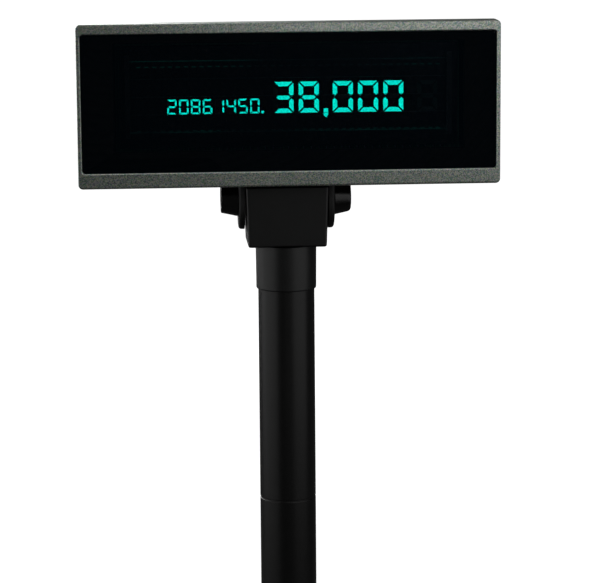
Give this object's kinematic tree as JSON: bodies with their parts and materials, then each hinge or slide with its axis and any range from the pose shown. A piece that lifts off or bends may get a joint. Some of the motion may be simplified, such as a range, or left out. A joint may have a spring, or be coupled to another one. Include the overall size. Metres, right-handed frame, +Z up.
{
  "type": "pole display",
  "caption": "Customer readout on a pole: wide tilting head with a lit numeric tube display, swivelling neck with clamp knobs, two-section pole and weighted base.",
  "frame": {"origin": "on the pole's axis at the floor, under the middle of the base", "axes": "+Z up along the pole, -Y out of the readout's face, +X to the right as the viewer faces the readout"},
  "size_m": [0.22, 0.13, 0.4211],
  "materials": {
    "metallic_paint": "metallic flake paint over ABS",
    "smoked_acrylic": "polished smoked acrylic",
    "black_tape": "black foam tape",
    "lit_phosphor": "glowing blue-green phosphor",
    "dark_phosphor": "unlit phosphor",
    "tube_glass": "clear soda glass",
    "base_glass_black": "glass with a black printed layer",
    "circuit_board": "green solder mask over glass fibre",
    "chip_epoxy": "moulded black epoxy",
    "ivory_nylon": "moulded nylon",
    "steel": "zinc plated",
    "black_steel": "black oxide",
    "brass": "turned",
    "textured_abs": "fine spark texture, moulded",
    "gloss_knob": "smooth moulded",
    "acetal": "moulded acetal",
    "satin_tube": "satin extruded tube",
    "ballast_steel": "black dipped steel",
    "rubber": "moulded rubber"
  },
  "bodies": {
    "base": {"base_cover": "textured_abs", "ballast_plate": "ballast_steel", "rubber_feet": "rubber", "base_screws": "steel", "pole_screws": "steel", "end_plug": "acetal", "lower_tube": "satin_tube", "tube_coupler": "acetal", "upper_tube": "satin_tube", "swivel_post": "acetal", "wave_washer": "steel", "retaining_ring": "steel"},
    "neck": {"neck": "textured_abs", "knob_inserts": "brass", "friction_washers": "steel"},
    "head": {"front_bezel": "metallic_paint", "window": "smoked_acrylic", "window_tape": "black_tape", "large_digits": "lit_phosphor", "small_characters": "lit_phosphor", "unlit_segments": "dark_phosphor", "cover_glass": "tube_glass", "base_glass": "base_glass_black", "filaments": "steel", "filament_supports": "steel", "display_pins": "steel", "display_board": "circuit_board", "driver_chips": "chip_epoxy", "converter_coil": "chip_epoxy", "capacitors": "chip_epoxy", "cable_header": "ivory_nylon", "board_screws": "steel", "rear_cover": "textured_abs", "cover_screws": "black_steel"},
    "left_knob": {"left_knob": "gloss_knob", "left_knob_screw": "steel"},
    "right_knob": {"right_knob": "gloss_knob", "right_knob_screw": "steel"}
  },
  "joints": [
    {"name": "swivel", "type": "hinge", "parent": "base", "child": "neck", "pos_m": [0, 0, 0.29], "axis": [0, 0, 1], "range_deg": [-150, 150]},
    {"name": "tilt", "type": "hinge", "parent": "neck", "child": "head", "pos_m": [0, 0, 0.3249], "axis": [1, 0, 0], "range_deg": [-30, 12]},
    {"name": "left_knob_turn", "type": "hinge", "parent": "neck", "child": "left_knob", "pos_m": [-0.03, 0, 0.3249], "axis": [-1, 0, 0], "range_deg": [0, 360]},
    {"name": "right_knob_turn", "type": "hinge", "parent": "neck", "child": "right_knob", "pos_m": [0.03, 0, 0.3249], "axis": [1, 0, 0], "range_deg": [0, 360]}
  ]
}
